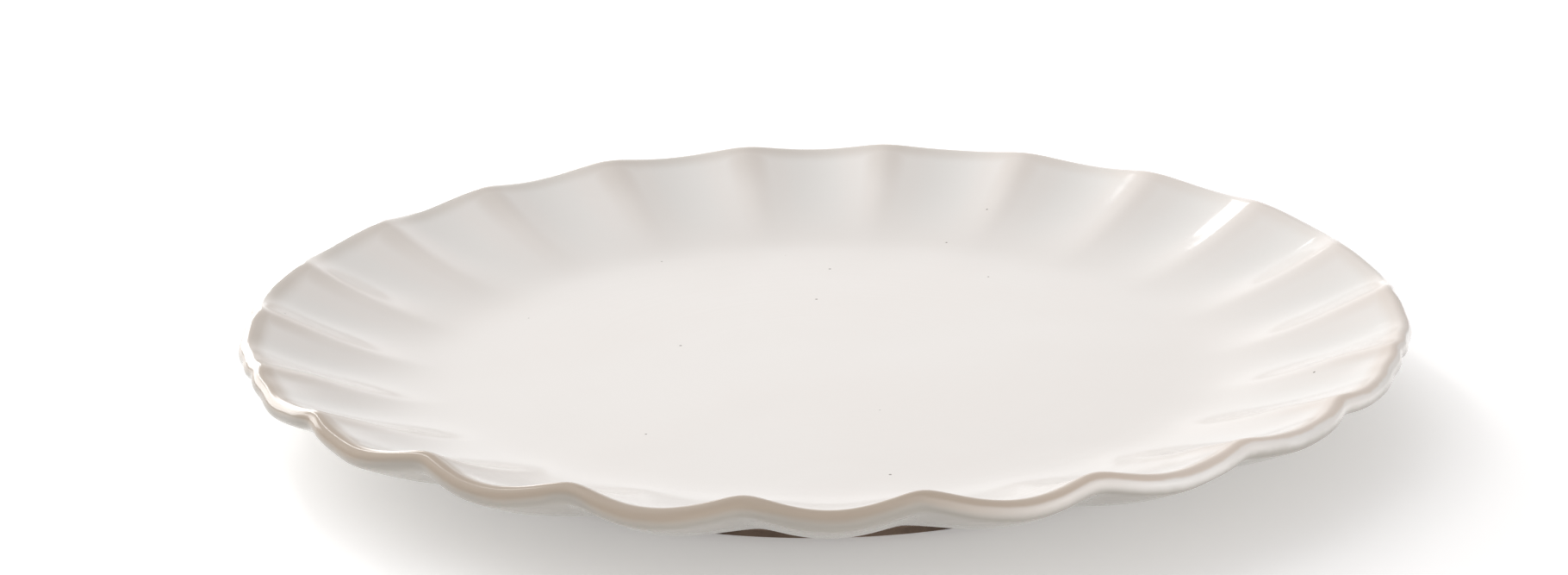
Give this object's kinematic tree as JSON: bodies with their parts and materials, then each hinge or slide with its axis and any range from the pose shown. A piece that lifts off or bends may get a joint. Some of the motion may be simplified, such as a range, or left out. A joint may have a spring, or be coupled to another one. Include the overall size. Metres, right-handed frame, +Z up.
{
  "type": "scalloped dessert plate",
  "caption": "Round glazed stoneware dessert plate with a flat well, a fluted wall, a scalloped rolled rim and a bare foot ring to stand on.",
  "frame": {"origin": "centre of the foot ring, on the table it stands on", "axes": "+Z up through the middle of the well, +X through a cusp between two lobes of the rim, +Y through the middle of a lobe"},
  "size_m": [0.2182, 0.22, 0.022],
  "materials": {
    "fired_clay": "bare brown stoneware, matt",
    "cream_glaze": "glossy off-white glaze that breaks to taupe on the rim's edge"
  },
  "bodies": {
    "root": {"stoneware_body": "fired_clay", "glaze_coat": "cream_glaze", "base_glaze": "cream_glaze"}
  },
  "joints": []
}
